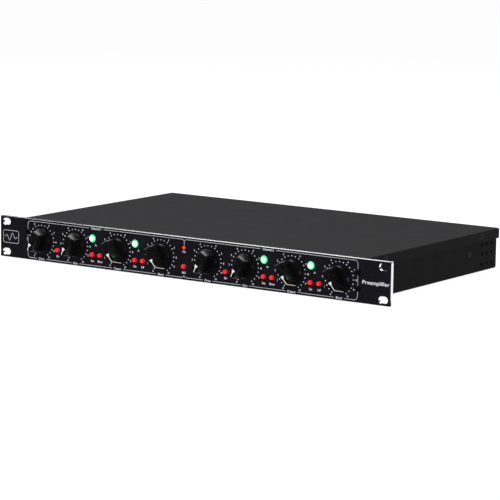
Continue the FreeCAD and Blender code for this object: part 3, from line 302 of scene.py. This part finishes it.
FINISHES = {
    "panel_black": panel_finish(),
    # case_black and cover_grey are one powder coat; cover_grey, which carries the top, is tinted a little
    # lighter as painted light from above.
    "case_black": cover_finish("case_black", (0.014, 0.014, 0.0148), 0.01),
    "cover_grey": cover_finish("cover_grey", (0.017, 0.017, 0.018), 0.01),
    "black_steel": grained("black_steel", (0.005, 0.005, 0.005), 0.4, 0.3, 0.01, specular=0.08),
    "circuit_board": board_finish(),
    "bright_metal": grained("bright_metal", (0.72, 0.72, 0.7), 0.28, 0.3, 0.008, metallic=1, spread=0.08),
    "contact_metal": grained("contact_metal", (0.85, 0.62, 0.25), 0.22, 0.3, 0.006, metallic=1, spread=0.08),
    "can_metal": grained("can_metal", (0.5, 0.5, 0.49), 0.38, 0.6, 0.02, metallic=1, spread=0.1),
    "capacitor_sleeve": grained("capacitor_sleeve", (0.02, 0.03, 0.08), 0.28, 0.8, 0.02),
    "bare_aluminium": grained(
        "bare_aluminium", (0.7, 0.7, 0.72), 0.4, 0.4, 0.02, metallic=1, spread=0.08, stretch=(1, 0.05, 1),
    ),
    "winding_tape": winding_finish(),
    "black_plastic": grained("black_plastic", (0.012, 0.012, 0.013), 0.42, 0.35, 0.02),
    "socket_black": grained("socket_black", (0.02, 0.02, 0.022), 0.36, 0.3, 0.015, metallic=0.35),
    "ribbon_grey": ribbon_finish(),
    "knob_black": knob_finish(),
    "button_red": button_finish(),
    "green_lamp": lamp_finish(
        "green_lamp", (0.05, 0.8, 0.2), strength=7.0, height_mm=2.7,
        rim=(0.0, 0.085, 0.02), heart=(0.6, 1.0, 0.7),
    ),
    "orange_lamp": lamp_finish(
        "orange_lamp", (0.7, 0.04, 0.006), strength=1.3, height_mm=1.7,
        rim=(0.22, 0.004, 0.0), heart=(1.0, 0.06, 0.004),
    ),
}
INK = grained("legend_ink", (0.82, 0.84, 0.9), 0.55, 0.25, 0.006, spread=0.1).made
DIM_INK = grained("line_ink", (0.54, 0.55, 0.6), 0.55, 0.25, 0.006, spread=0.1).made
MARK = grained("knob_mark", (0.86, 0.86, 0.84), 0.42, 0.3, 0.01, spread=0.06).made


def paint_cad_nodes():
    """Give each CAD node the finish of its slot in the record."""
    slots = {part["node"]: part["material_slot"] for part in frame["record"]["subparts"]}
    for name, node in frame["nodes"].items():
        made = FINISHES[slots[name]].made
        if not node.material_slots:
            node.data.materials.append(made)
        for slot in node.material_slots:
            slot.material = made


# ---- mesh helpers ----------------------------------------------------------------------------

OUT = Matrix.Rotation(math.pi / 2, 4, "X")  # carries a local +Z to the front of the panel
BACK = Matrix.Rotation(-math.pi / 2, 4, "X")  # carries a local +Z to the rear


def at(x, y, z, turn=Matrix.Identity(4)):
    """Placement at a point in millimetres."""
    return Matrix.Translation(Vector((x, y, z)) * MM) @ turn


def place(name, mesh, body, slot=None, placement=Matrix.Identity(4)):
    item = bpy.data.objects.new(name, mesh)
    bpy.context.scene.collection.objects.link(item)
    item.matrix_world = placement
    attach(item, body)
    return item


def finished(name, bm, *finishes, smooth=35):
    """Turn a bmesh in millimetres into a mesh in metres, smooth but for its sharp edges."""
    bmesh.ops.recalc_face_normals(bm, faces=bm.faces)
    mesh = bpy.data.meshes.new(name)
    bm.to_mesh(mesh)
    bm.free()
    mesh.transform(Matrix.Scale(MM, 4))
    for finish in finishes:
        mesh.materials.append(finish)
    mesh.polygons.foreach_set("use_smooth", [True] * len(mesh.polygons))
    mesh.set_sharp_from_angle(angle=math.radians(smooth))
    return mesh


def lathe(bm, profile, steps=64, spot=(0, 0)):
    """Turn (radius, height) points about a line along +Z."""
    rings = []
    for radius, height in profile:
        count = steps if radius else 1
        angles = [2 * math.pi * index / count for index in range(count)]
        rings.append([
            bm.verts.new((spot[0] + radius * math.cos(angle), spot[1] + radius * math.sin(angle), height))
            for angle in angles
        ])
    for low, high in zip(rings, rings[1:]):
        for index in range(steps):
            after = index + 1
            corners = (
                low[index % len(low)], low[after % len(low)],
                high[after % len(high)], high[index % len(high)],
            )
            bm.faces.new(list(dict.fromkeys(corners)))


def rounding(x, y, radius, start, end, steps=5):
    """Points of an arc about (x, y), with its angles in degrees."""
    points = []
    for index in range(steps + 1):
        angle = math.radians(start + (end - start) * index / steps)
        points.append((x + radius * math.cos(angle), y + radius * math.sin(angle)))
    return points


def strip(bm, path, halves, normals, lift, sink, material=0):
    """A thin closed band along a path, with its half widths and surface normals point by point."""
    rows = []
    for index, (point, half, normal) in enumerate(zip(path, halves, normals)):
        before = path[max(index - 1, 0)]
        after = path[min(index + 1, len(path) - 1)]
        side = (after - before).cross(normal).normalized() * half
        corners = (point + side + normal * lift, point - side + normal * lift,
                   point - side - normal * sink, point + side - normal * sink)
        rows.append([bm.verts.new(corner) for corner in corners])
    for first, second in zip(rows, rows[1:]):
        for index in range(4):
            after = (index + 1) % 4
            bm.faces.new((first[index], first[after], second[after], second[index])).material_index = material
    for end in (rows[0], rows[-1]):
        bm.faces.new(end).material_index = material


# ---- pointer knobs ---------------------------------------------------------------------------

KNOB_LOW, KNOB_HIGH = box_mm("knob_drive_1")
KNOB_HEIGHT = PANEL_FRONT - KNOB_LOW.y - 0.05
KNOB_GAP = PANEL_FRONT - KNOB_HIGH.y
SKIRT_RADIUS = (KNOB_HIGH.x - KNOB_LOW.x) / 2
SKIRT_TOP = 3.6
WING_ROOT = 3.0
TOP_EDGE = 0.8

# Plan of the grip at its root and at its top: half widths and distances of tail, shoulder and nose.
ROOT = {"tail": 12.0, "tail_half": 5.2, "shoulder": 9.4, "shoulder_half": 4.8, "nose": 14.1, "nose_half": 1.3}
TOP = {"tail": 11.4, "tail_half": 4.2, "shoulder": 7.6, "shoulder_half": 3.6, "nose": 10.6, "nose_half": 1.3}
FLANK_HOLLOW = 0.55
# The crest starts to fall this far out along the grip, and falls by this much at its end.
NOSE_FALL_START, NOSE_FALL_LENGTH, NOSE_FALL = 3.0, 7.6, 1.9
TAIL_FALL_START, TAIL_FALL_LENGTH, TAIL_FALL = 6.0, 5.4, 2.0
MARK_HALF = 0.4
# Distances along the crest where the mark's wedge narrows, and its half widths there.
WEDGE = ((1.8, 1.9), (3.0, 1.5), (4.2, 1.0))
MARK_RUN = (5.4, 7.0, 8.6)


def plan_at(height):
    share = (height - WING_ROOT) / (KNOB_HEIGHT - WING_ROOT)
    return {key: ROOT[key] + (TOP[key] - ROOT[key]) * share for key in ROOT}


def levels():
    """(height, inset) from the root of the grip to the end of its rounded top edge."""
    straight = KNOB_HEIGHT - TOP_EDGE
    steps = [(WING_ROOT + (straight - WING_ROOT) * index / 6, 0.0) for index in range(7)]
    for index in range(1, 6):
        angle = math.pi / 2 * index / 5
        steps.append((straight + TOP_EDGE * math.sin(angle), TOP_EDGE * (1 - math.cos(angle))))
    return steps


def rounded_corner(before, corner, after, radius, steps=4):
    """Points that round off a corner with an arc that is tangent to both its sides."""
    first = (before - corner).normalized()
    second = (after - corner).normalized()
    half = first.angle(second) / 2
    reach = radius / math.tan(half)
    centre = corner + (first + second).normalized() * (radius / math.sin(half))
    start = corner + first * reach - centre
    end = corner + second * reach - centre
    return [centre + start.slerp(end, index / steps).normalized() * radius for index in range(steps + 1)]


def grip_outline(plan):
    """The grip's plan, its nose along +Y: square tail, slightly hollow flanks, blunt nose."""
    tail = Vector((plan["tail_half"], -plan["tail"]))
    shoulder = Vector((plan["shoulder_half"], plan["shoulder"]))
    nose = Vector((plan["nose_half"], plan["nose"]))
    half = rounded_corner(Vector((0, -plan["tail"])), tail, shoulder, 1.2)
    bend = rounded_corner(tail, shoulder, nose, 2.5)
    start = half[-1]
    for step in range(1, 10):
        share = step / 10
        hollow = 4 * share * (1 - share) * FLANK_HOLLOW
        half.append(start.lerp(bend[0], share) - Vector((hollow, 0)))
    half += bend + rounded_corner(shoulder, nose, Vector((0, plan["nose"])), 0.9)
    return half + [Vector((-point.x, point.y)) for point in reversed(half)]


def inset(points, depth):
    """The outline moved inwards, each point along its own normal."""
    moved = []
    for index, point in enumerate(points):
        along = points[(index + 1) % len(points)] - points[index - 1]
        moved.append(point + Vector((-along.y, along.x)).normalized() * depth)
    return moved


def settled(y, height):
    """The crest falls towards its nose and its tail; the fall fades out down to the root."""
    nose = max(0.0, (y - NOSE_FALL_START) / NOSE_FALL_LENGTH)
    tail = max(0.0, (-y - TAIL_FALL_START) / TAIL_FALL_LENGTH)
    share = (height - WING_ROOT) / (KNOB_HEIGHT - WING_ROOT)
    return height - (NOSE_FALL * nose ** 2 + TAIL_FALL * tail ** 2) * share ** 2


def knob_mesh():
    bm = bmesh.new()
    profile = [(0, SKIRT_TOP - 0.2), (3.9, SKIRT_TOP - 0.2), (3.9, 2.6), (8.0, 2.6), (8.0, KNOB_GAP)]
    profile += rounding(SKIRT_RADIUS - 0.3, KNOB_GAP + 0.3, 0.3, -90, 0, 4)
    profile += rounding(SKIRT_RADIUS - 0.5, 1.75, 0.5, 0, 50, 4)
    profile += rounding(SKIRT_RADIUS - 1.9, SKIRT_TOP - 0.6, 0.6, 50, 88, 4)
    profile += [(7.0, SKIRT_TOP + 0.15), (0, SKIRT_TOP + 0.3)]
    lathe(bm, profile, 96)
    rings = []
    for height, depth in levels():
        outline = inset(grip_outline(plan_at(height)), depth)
        rings.append([bm.verts.new((x, y, settled(y, height))) for x, y in outline])
    for low, high in zip(rings, rings[1:]):
        for index in range(len(low)):
            after = (index + 1) % len(low)
            bm.faces.new((low[index], low[after], high[after], high[index]))
    bm.faces.new(rings[0])
    crest = rings[-1]
    for index in range(len(crest) // 2 - 1):
        mirrored = len(crest) - 1 - index
        bm.faces.new((crest[index], crest[index + 1], crest[mirrored - 1], crest[mirrored]))
    pointer_mark(bm)
    return finished("knob", bm, FINISHES["knob_black"].made, MARK, smooth=30)


def pointer_mark(bm):
    """White inlay: a wedge on the crest that narrows to a line, over the nose and down to its foot."""
    path = []
    halves = []
    for y, half in WEDGE + tuple((y, MARK_HALF) for y in MARK_RUN):
        path.append(Vector((0, y, settled(y, KNOB_HEIGHT))))
        halves.append(half)
    for height, depth in reversed(levels()):
        y = plan_at(height)["nose"] - depth
        path.append(Vector((0, y, settled(y, height))))
        halves.append(MARK_HALF)
    normals = []
    for index in range(len(path)):
        along = path[min(index + 1, len(path) - 1)] - path[max(index - 1, 0)]
        normals.append(Vector((0, -along.z, along.y)).normalized())
    strip(bm, path, halves, normals, 0.04, 0.15, material=1)


def knobs():
    mesh = knob_mesh()
    for name in KNOBS:
        angle = math.radians(REST_ANGLE[name.split("_")[0]])
        placement = at(knob_x(name), PANEL_FRONT, 0, OUT @ Matrix.Rotation(-angle, 4, "Z"))
        knob = place(f"pointer_knob_{name}", mesh, f"turn_{name}", "knob_black", placement)
        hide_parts(f"knob_{name}")


# ---- buttons and lamps -----------------------------------------------------------------------

# Barrel, collar and lens-ring radii; the lens ring glows in the lamp's rim colour as a painted halo of its
# light on the panel.
GREEN_LENS = {"radius": 2.5, "collar": 2.9, "ring": 4.0}
ORANGE_LENS = {"radius": 1.5, "collar": 1.8, "ring": 1.7}
LEAD_RADIUS, LEAD_OFFSET = 0.25, 1.27


def buttons():
    """Caps with a rolled edge and a shallow finger dish, and the stem behind."""
    low, high = box_mm("button_centre")
    radius = (high.x - low.x) / 2
    top = PANEL_FRONT - low.y
    back = PANEL_FRONT - high.y
    bm = bmesh.new()
    profile = [(0, back), (1.6, back), (1.6, -1.5), (radius - 0.2, -1.5), (radius, -1.3)]
    profile += rounding(radius - 0.6, top - 0.5, 0.5, 0, 100, 7)
    profile += [(1.1, top - 0.14), (0.6, top - 0.24), (0, top - 0.28)]
    lathe(bm, profile, 48)
    mesh = finished("button", bm, FINISHES["button_red"].made)
    for name in BUTTONS:
        centre = button_centre(name)
        body = "press_centre" if name == "centre" else f"press_{name}"
        cap = place(f"push_cap_{name}", mesh, body, "button_red", at(centre.x, PANEL_FRONT, BUTTON_Z, OUT))
        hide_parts(f"button_{name}")


def lens_mesh(name, reach, finish, radius, collar, ring):
    """A lamp: collar, barrel, thin lens ring on the panel that glows as a painted halo of the lamp's light,
    domed nose and two leads.
    """
    bm = bmesh.new()
    profile = [(0, -5), (collar, -5), (collar, -4), (radius, -4), (radius, 0), (ring, 0), (ring, 0.12)]
    profile += [(ring - 0.15, 0.3), (radius, 0.4)]
    profile += rounding(0, 0.2, radius, 12, 84, 7)
    profile += [(0, radius + 0.2)]
    lathe(bm, profile, 48)
    for side in (-1, 1):
        lead = [(0, -reach), (LEAD_RADIUS, -reach), (LEAD_RADIUS, -4.6), (0, -4.6)]
        lathe(bm, lead, 8, (LEAD_OFFSET * side, 0))
    return finished(name, bm, finish)


def lamps():
    reach = box_mm("level_leds")[1].y - PANEL_FRONT - 0.01
    low, high = box_mm("level_leds")
    middle_z = (low.z + high.z) / 2
    mesh = lens_mesh("green_lens", reach, FINISHES["green_lamp"].made, **GREEN_LENS)
    index = 0
    for channel in CHANNELS:
        for kind in ("set", "ge"):
            index += 1
            spot = at(button_centre(f"{kind}_{channel}").x, PANEL_FRONT, middle_z, OUT)
            lens = place(f"green_lens_{index}", mesh, "chassis", "green_lamp", spot)
            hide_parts("level_leds")
    power = centre_mm("power_led")
    mesh = lens_mesh("orange_lens", reach, FINISHES["orange_lamp"].made, **ORANGE_LENS)
    lens = place("orange_lens", mesh, "chassis", "orange_lamp", at(power.x, PANEL_FRONT, power.z, OUT))
    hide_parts("power_led")


# ---- printing on the panel -------------------------------------------------------------------

INK_RISE = 0.03
CAP_SHARE = 0.72  # height of a capital letter as a share of the type size


def add_letters(bm, text, x, z, height, width=None):
    """Centre raised letters on (x, z), the letters' height given, squeezed to a width if there is one."""
    curve = bpy.data.curves.new("letters", "FONT")
    curve.body = text
    curve.size = height / CAP_SHARE
    curve.extrude = INK_RISE / 2
    curve.offset = height * 0.02
    curve.align_x = "CENTER"
    curve.resolution_u = 4
    item = bpy.data.objects.new("letters", curve)
    bpy.context.scene.collection.objects.link(item)
    bpy.context.view_layer.update()
    mesh = bpy.data.meshes.new_from_object(item.evaluated_get(bpy.context.evaluated_depsgraph_get()))
    squeeze = 1.0
    if width:
        squeeze = width / item.dimensions.x
    moved = Matrix.Translation((x, z - height / 2, INK_RISE / 2))
    mesh.transform(moved @ Matrix.Diagonal((squeeze, 1, 1, 1)))
    bm.from_mesh(mesh)
    bpy.data.objects.remove(item)
    bpy.data.curves.remove(curve)
    bpy.data.meshes.remove(mesh)


def line(bm, points, width):
    """A printed line through (x, z) points."""
    path = [Vector((x, z, 0)) for x, z in points]
    strip(bm, path, [width / 2] * len(path), [Vector((0, 0, 1))] * len(path), INK_RISE, 0)


def dial_scales():
    """Twenty-one dots round each knob, numbered 0 to 10 except at the top, where the frame is close."""
    ring, digit_ring, step = 16.17, 19.2, 15
    bm = bmesh.new()
    for index in range(21):
        angle = math.radians(-150 + step * index)
        lathe(
            bm, [(0, 0), (0.55, 0), (0.55, INK_RISE), (0, INK_RISE)], 14,
            (ring * math.sin(angle), ring * math.cos(angle)),
        )
    for number in range(11):
        if number != 5:
            angle = math.radians(-150 + 2 * step * number)
            add_letters(bm, str(number), digit_ring * math.sin(angle), digit_ring * math.cos(angle), 1.9)
    mesh = finished("dial_scale", bm, INK)
    for name in KNOBS:
        place(f"dial_scale_{name}", mesh, "chassis", None, at(knob_x(name), PANEL_FRONT, 0, OUT))


FRAME_HALF, FRAME_TOP, FRAME_BOTTOM = 203.7, 19.4, -19.1
FRAME_CORNER, NOTCH_CORNER, LINE_WIDTH = 3.6, 2.6, 0.5
NOTCH_TOP_END = 13.6
TITLE_X, TITLE_Z, TITLE_HEIGHT, TITLE_WIDTH = 223.9, -0.5, 3.6, 30.5
CHANNEL_TITLE = {1: -113.0, 2: 100.0}
KNOB_TITLES = {"drive": "Drive", "gain": "Gain", "output": "Output", "blend": "Blend"}
BUTTON_TITLES = {"tx": "Dr", "set": "Set", "even": "Even", "ge": "Ge", "hf": "HF"}


def crossed(bm, start, end, z, gaps):
    """A level line from start to end, left out over the gaps (centre, half width)."""
    here = start
    for centre, half in sorted(gaps):
        line(bm, [(here, z), (centre - half, z)], LINE_WIDTH)
        here = centre + half
    line(bm, [(here, z), (end, z)], LINE_WIDTH)


def channel_frames():
    """The outline of both channels: rounded ends, and a notch where the two meet."""
    bm = bmesh.new()
    corner, notch = FRAME_CORNER, NOTCH_CORNER
    for side in (-1, 1):
        outer = FRAME_HALF * side
        inner_x = outer - corner * side
        turn_top = [(inner_x + side * x, z) for x, z in rounding(0, FRAME_TOP - corner, corner, 90, 0, 8)]
        turn_low = [(inner_x + side * x, z) for x, z in rounding(0, FRAME_BOTTOM + corner, corner, 0, -90, 8)]
        line(bm, turn_top + turn_low, LINE_WIDTH)
        middle = FIELD_CENTRE + notch * side
        fall = [(middle - side * x, z) for x, z in rounding(0, FRAME_TOP - notch, notch, 90, 0, 8)]
        line(bm, fall, LINE_WIDTH)
        rise = [(middle - side * x, z) for x, z in rounding(0, FRAME_BOTTOM + notch, notch, -90, 0, 8)]
        line(bm, rise, LINE_WIDTH)
        channel = 1 if side < 0 else 2
        titles = []
        for kind, text in KNOB_TITLES.items():
            titles.append((knob_x(f"{kind}_{channel}"), 1.2 + 0.95 * len(text)))
        left, right = sorted((inner_x, middle))
        crossed(bm, left, right, FRAME_TOP, [(CHANNEL_TITLE[channel], 9.4)])
        crossed(bm, left, right, FRAME_BOTTOM, titles)
    line(bm, [(FIELD_CENTRE, FRAME_TOP - notch), (FIELD_CENTRE, NOTCH_TOP_END)], LINE_WIDTH)
    mesh = finished("channel_frames", bm, DIM_INK)
    place("channel_frames", mesh, "chassis", None, at(0, PANEL_FRONT, 0, OUT))


def panel_lettering():
    bm = bmesh.new()
    lamp_z = centre_mm("level_leds").z
    for channel in CHANNELS:
        add_letters(bm, f"Channel {channel}", CHANNEL_TITLE[channel], FRAME_TOP, 2.3)
        for kind, text in KNOB_TITLES.items():
            add_letters(bm, text, knob_x(f"{kind}_{channel}"), FRAME_BOTTOM + 0.1, 2.3)
        for kind, text in BUTTON_TITLES.items():
            add_letters(bm, text, button_centre(f"{kind}_{channel}").x, BUTTON_Z - 6.5, 2.3)
        add_letters(bm, "In", button_centre(f"set_{channel}").x + 4.4, lamp_z - 6.6, 2.1)
        add_letters(bm, "A", button_centre(f"ge_{channel}").x + 4.5, lamp_z - 6.6, 2.1)
    add_letters(bm, "M/S", FIELD_CENTRE, BUTTON_Z - 6.4, 2.2)
    add_letters(bm, "On", FIELD_CENTRE, centre_mm("power_led").z - 4.1, 2.2)
    add_letters(bm, "Preamplifier", TITLE_X, TITLE_Z, TITLE_HEIGHT, width=TITLE_WIDTH)
    mesh = finished("panel_lettering", bm, INK)
    place("panel_lettering", mesh, "chassis", None, at(0, PANEL_FRONT, 0, OUT))


def panel_motif():
    """A plain badge at the left end: an outlined plate with one wave across it."""
    bm = bmesh.new()
    middle, level, half_x, half_z, corner, width = -226.8, 0.2, 10.4, 6.6, 2.4, 0.5
    outline = []
    for side_x, side_z, start in ((1, 1, 90), (1, -1, 0), (-1, -1, -90), (-1, 1, -180)):
        x = middle + side_x * (half_x - corner)
        z = level + side_z * (half_z - corner)
        outline += rounding(x, z, corner, start, start - 90, 6)
    line(bm, outline + outline[:1], width)
    wave = []
    for index in range(49):
        share = index / 48
        lift = 4.2 * math.sin(share * 4 * math.pi) * math.sin(share * math.pi)
        wave.append((middle - 8.4 + 16.8 * share, level + lift))
    line(bm, wave, width)
    mesh = finished("panel_motif", bm, DIM_INK)
    place("panel_motif", mesh, "chassis", None, at(0, PANEL_FRONT, 0, OUT))


def rear_lettering():
    """Plain words beside the sockets; the rear face is read with +X to the left."""
    rear = box_mm("rear_panel")[1].y
    words = {"Input 1": -195.6, "Output 1": -118.5, "Input 2": -96.0, "Output 2": -17.5, "Power": 110.5}
    bm = bmesh.new()
    for text, x in words.items():
        add_letters(bm, text, -x, -1.2, 2.3)
    mesh = finished("rear_lettering", bm, INK)
    place("rear_lettering", mesh, "chassis", None, at(0, rear, 0, Matrix.Rotation(math.pi, 4, "Z") @ OUT))


# ---- stage, light and camera -----------------------------------------------------------------


def stage_plane(name, x_span, y_span, height, finish):
    bm = bmesh.new()
    corners = [(x_span[0], y_span[0]), (x_span[1], y_span[0]), (x_span[1], y_span[1]), (x_span[0], y_span[1])]
    bm.faces.new([bm.verts.new((x, y, height)) for x, y in corners])
    plane = bpy.data.objects.new(name, finished(name, bm, finish.made))
    bpy.context.scene.collection.objects.link(plane)
    return plane


def stage_floor():
    """A lit white floor, and in front a black card that only the glossy faces mirror."""
    pale = Finish("floor_pale", (0.1, 0.1, 0.1), 1.0, specular=0.0)
    pale.set("Emission Color", (1, 1, 1, 1))
    pale.set("Emission Strength", 0.97)
    reach = 14000
    stage_plane("stage_floor", (-reach, reach), (-reach, reach), FLOOR, pale)
    black = Finish("card_black", (0.004, 0.004, 0.004), 1.0, specular=0.0)
    card = stage_plane("stage_card", (-1500, 262), (-1300, -4), FLOOR + 0.2, black)
    card.visible_camera = False
    card.visible_diffuse = False
    card.visible_shadow = False


def studio_world():
    """A dim room, brighter towards the rear."""
    world = bpy.data.worlds.new("studio")
    world.use_nodes = True
    tree = world.node_tree
    way = tree.nodes.new("ShaderNodeTexCoord")
    parts = tree.nodes.new("ShaderNodeSeparateXYZ")
    fade = tree.nodes.new("ShaderNodeMapRange")
    for key, value in (("From Min", -0.25), ("From Max", 0.75), ("To Min", 0.015), ("To Max", 0.1)):
        fade.inputs[key].default_value = value
    tree.links.new(way.outputs["Generated"], parts.inputs[0])
    tree.links.new(parts.outputs["Y"], fade.inputs["Value"])
    tree.links.new(fade.outputs["Result"], tree.nodes["Background"].inputs["Strength"])
    tree.nodes["Background"].inputs["Color"].default_value = (1, 1, 1, 1)
    bpy.context.scene.world = world


def softbox(name, spot_m, target_m, size_m, power, mirrored=True):
    """A rectangular lamp that faces its target."""
    light = bpy.data.lights.new(name, "AREA")
    light.shape = "RECTANGLE"
    light.size, light.size_y = size_m
    light.energy = power
    item = bpy.data.objects.new(name, light)
    bpy.context.scene.collection.objects.link(item)
    item.location = spot_m
    item.rotation_euler = (Vector(target_m) - Vector(spot_m)).to_track_quat("-Z", "Y").to_euler()
    item.visible_glossy = mirrored
    item.visible_camera = False


def studio_lights():
    softbox("overhead", (-0.2, 0.1, 1.4), (-0.1, 0.1, 0.0), (1.8, 1.2), 34, mirrored=False)
    softbox("edge_light", (-0.55, -0.25, 1.2), (0.0, 0.0, 0.0), (0.9, 0.7), 3)
    softbox("rear_top", (-0.25, 1.1, 1.4), (0.0, 0.0, 0.0), (2.2, 1.4), 26)
    softbox("left_high", (-1.7, -0.1, 0.9), (0.0, 0.0, 0.0), (0.6, 0.8), 3)
    softbox("front_fill", (-0.3, -1.9, 0.7), (0.0, 0.0, 0.0), (2.0, 1.2), 14, mirrored=False)


CAMERA_SPOT_M = (1.4391, -1.9724, 0.3942)
AZIMUTH, ELEVATION, ROLL = 34.64, 8.96, 0.78
LENS_MM, SENSOR_MM = 178.0, 36.0


def camera():
    turn = math.radians(AZIMUTH)
    rise = math.radians(ELEVATION)
    back = Vector((math.sin(turn) * math.cos(rise), -math.cos(turn) * math.cos(rise), math.sin(rise)))
    level = Vector((math.cos(turn), math.sin(turn), 0))
    up = back.cross(level)
    tilt = math.radians(ROLL)
    right = level * math.cos(tilt) + up * math.sin(tilt)
    upward = up * math.cos(tilt) - level * math.sin(tilt)
    lens = bpy.data.cameras.new("camera")
    lens.lens = LENS_MM
    lens.sensor_width = SENSOR_MM
    lens.clip_end = 100
    item = bpy.data.objects.new("camera", lens)
    bpy.context.scene.collection.objects.link(item)
    axes = Matrix((right, upward, back)).transposed().to_4x4()
    item.matrix_world = Matrix.Translation(CAMERA_SPOT_M) @ axes
    bpy.context.scene.camera = item


camera()
paint_cad_nodes()
knobs()
buttons()
lamps()
dial_scales()
channel_frames()
panel_lettering()
panel_motif()
rear_lettering()
stage_floor()
studio_world()
studio_lights()
bpy.context.scene.view_settings.view_transform = "Standard"
